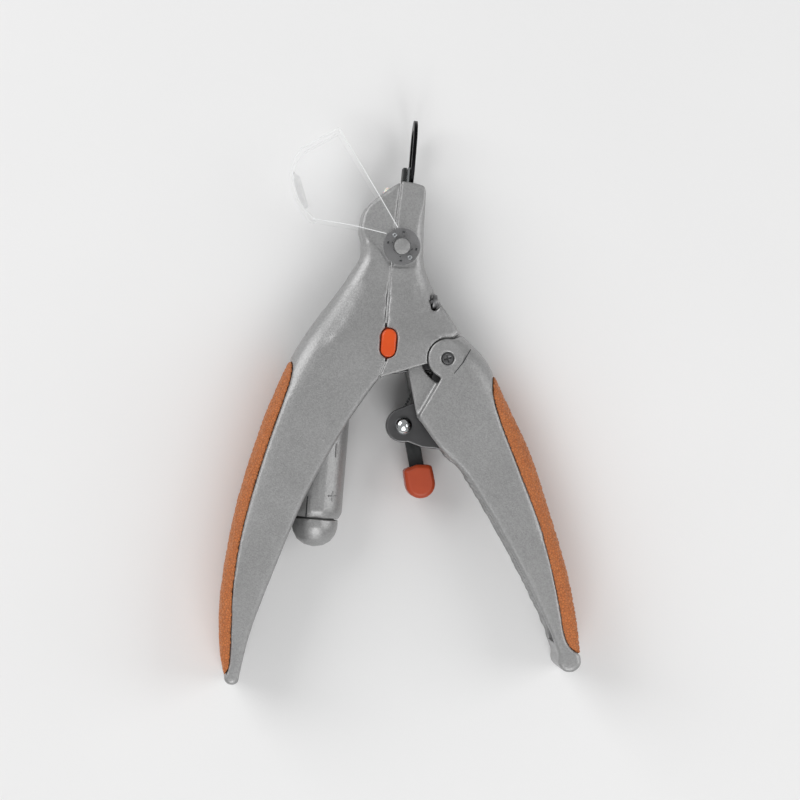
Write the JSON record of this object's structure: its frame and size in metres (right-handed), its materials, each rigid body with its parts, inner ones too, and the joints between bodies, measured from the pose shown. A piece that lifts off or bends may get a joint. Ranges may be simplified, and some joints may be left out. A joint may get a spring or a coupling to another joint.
{
  "type": "guillotine nail clipper",
  "caption": "Plier-style pet nail clipper: squeezing its sprung handles lifts a blade across a steel ring, under a swinging clear magnifier hood, with a lamp button and a safety latch.",
  "frame": {"origin": "on the flat rear face of the housing that the clipper lies on, where the plane of the blade meets the line through the handle pivot", "axes": "+Y along the blade towards the ring, +Z the clipper's thickness, up from the table to the face with the light button, +X towards the moving handle"},
  "size_m": [0.1125, 0.1783, 0.0244],
  "materials": {
    "silver_plastic": "moulded ABS, silver-grey with a fine metallic fleck, satin",
    "orange_rubber": "orange thermoplastic rubber with a pebbled texture, matt",
    "black_steel": "steel with a black oxide finish, satin",
    "zinc_screw": "bright zinc plated steel",
    "cell_nickel": "nickel plated steel",
    "spring_steel": "drawn spring wire",
    "wire_insulation": "PVC wire insulation",
    "lamp_epoxy": "clear epoxy lamp",
    "circuit_board": "green glass-fibre board",
    "black_plastic": "black acetal, fine grained",
    "orange_plastic": "glossy orange ABS",
    "die_cast_zinc": "zinc die casting, dark nickel plated",
    "rivet_chrome": "domed rivet, polished and chrome plated",
    "blade_steel": "ground stainless blade",
    "clear_plastic": "clear moulded polycarbonate"
  },
  "bodies": {
    "housing": {"left_housing": "silver_plastic", "right_housing": "silver_plastic", "fixed_grip": "orange_rubber", "guillotine_ring": "black_steel", "ring_screw_1": "zinc_screw", "ring_screw_2": "zinc_screw", "housing_screw_1": "zinc_screw", "housing_screw_2": "zinc_screw", "pivot_pin": "zinc_screw", "pivot_screw": "black_steel", "hood_pin_front": "silver_plastic", "hood_pin_rear": "silver_plastic", "battery_tube": "silver_plastic", "contact_plate": "cell_nickel", "battery_spring": "spring_steel", "button_cell_1": "cell_nickel", "button_cell_2": "cell_nickel", "button_cell_3": "cell_nickel", "battery_wire": "wire_insulation", "lamp_wire": "wire_insulation", "led_lamp": "lamp_epoxy", "switch_board": "circuit_board", "light_switch": "black_plastic"},
    "handle": {"moving_handle": "silver_plastic", "moving_grip": "orange_rubber", "drive_lever": "die_cast_zinc", "lever_screw_1": "zinc_screw", "lever_screw_2": "zinc_screw", "latch_rivet": "rivet_chrome", "return_spring": "spring_steel"},
    "blade": {"blade_carrier": "black_plastic", "cutting_blade": "blade_steel", "blade_screw_1": "zinc_screw", "blade_screw_2": "zinc_screw"},
    "hood": {"magnifier_hood": "clear_plastic", "magnifier_lens": "clear_plastic"},
    "latch": {"latch_bar": "black_plastic", "latch_cap": "orange_plastic"},
    "button": {"light_button": "orange_plastic"},
    "cap": {"battery_cap": "silver_plastic"}
  },
  "joints": [
    {"name": "handle_squeeze", "type": "hinge", "parent": "housing", "child": "handle", "pos_m": [0.0157, 0, 0.012], "axis": [0, 0, 1], "range_deg": [-28, 0], "stiffness_Nm_per_rad": 0.3, "springref_deg": 17.19, "deforming": ["return_spring"]},
    {"name": "blade_slide", "type": "slide", "parent": "housing", "child": "blade", "axis": [0, 1, 0], "range_m": [0, 0.0122]},
    {"name": "hood_swing", "type": "hinge", "parent": "housing", "child": "hood", "pos_m": [-0.0011, 0.0333, 0.012], "axis": [0, 0, 1], "range_deg": [-41, 41]},
    {"name": "latch_swing", "type": "hinge", "parent": "handle", "child": "latch", "pos_m": [0.0042, -0.0217, 0.009], "axis": [0, 0, 1], "range_deg": [0, 22]},
    {"name": "button_push", "type": "slide", "parent": "housing", "child": "button", "axis": [0, 0, -1], "range_m": [0, 0.0006], "stiffness_N_per_m": 300},
    {"name": "cap_pull", "type": "slide", "parent": "housing", "child": "cap", "axis": [0, -1, 0], "range_m": [0, 0.02]}
  ],
  "couplings": [
    {"joint": "blade_slide", "follows": "handle_squeeze", "m_per_rad": -0.024752}
  ]
}
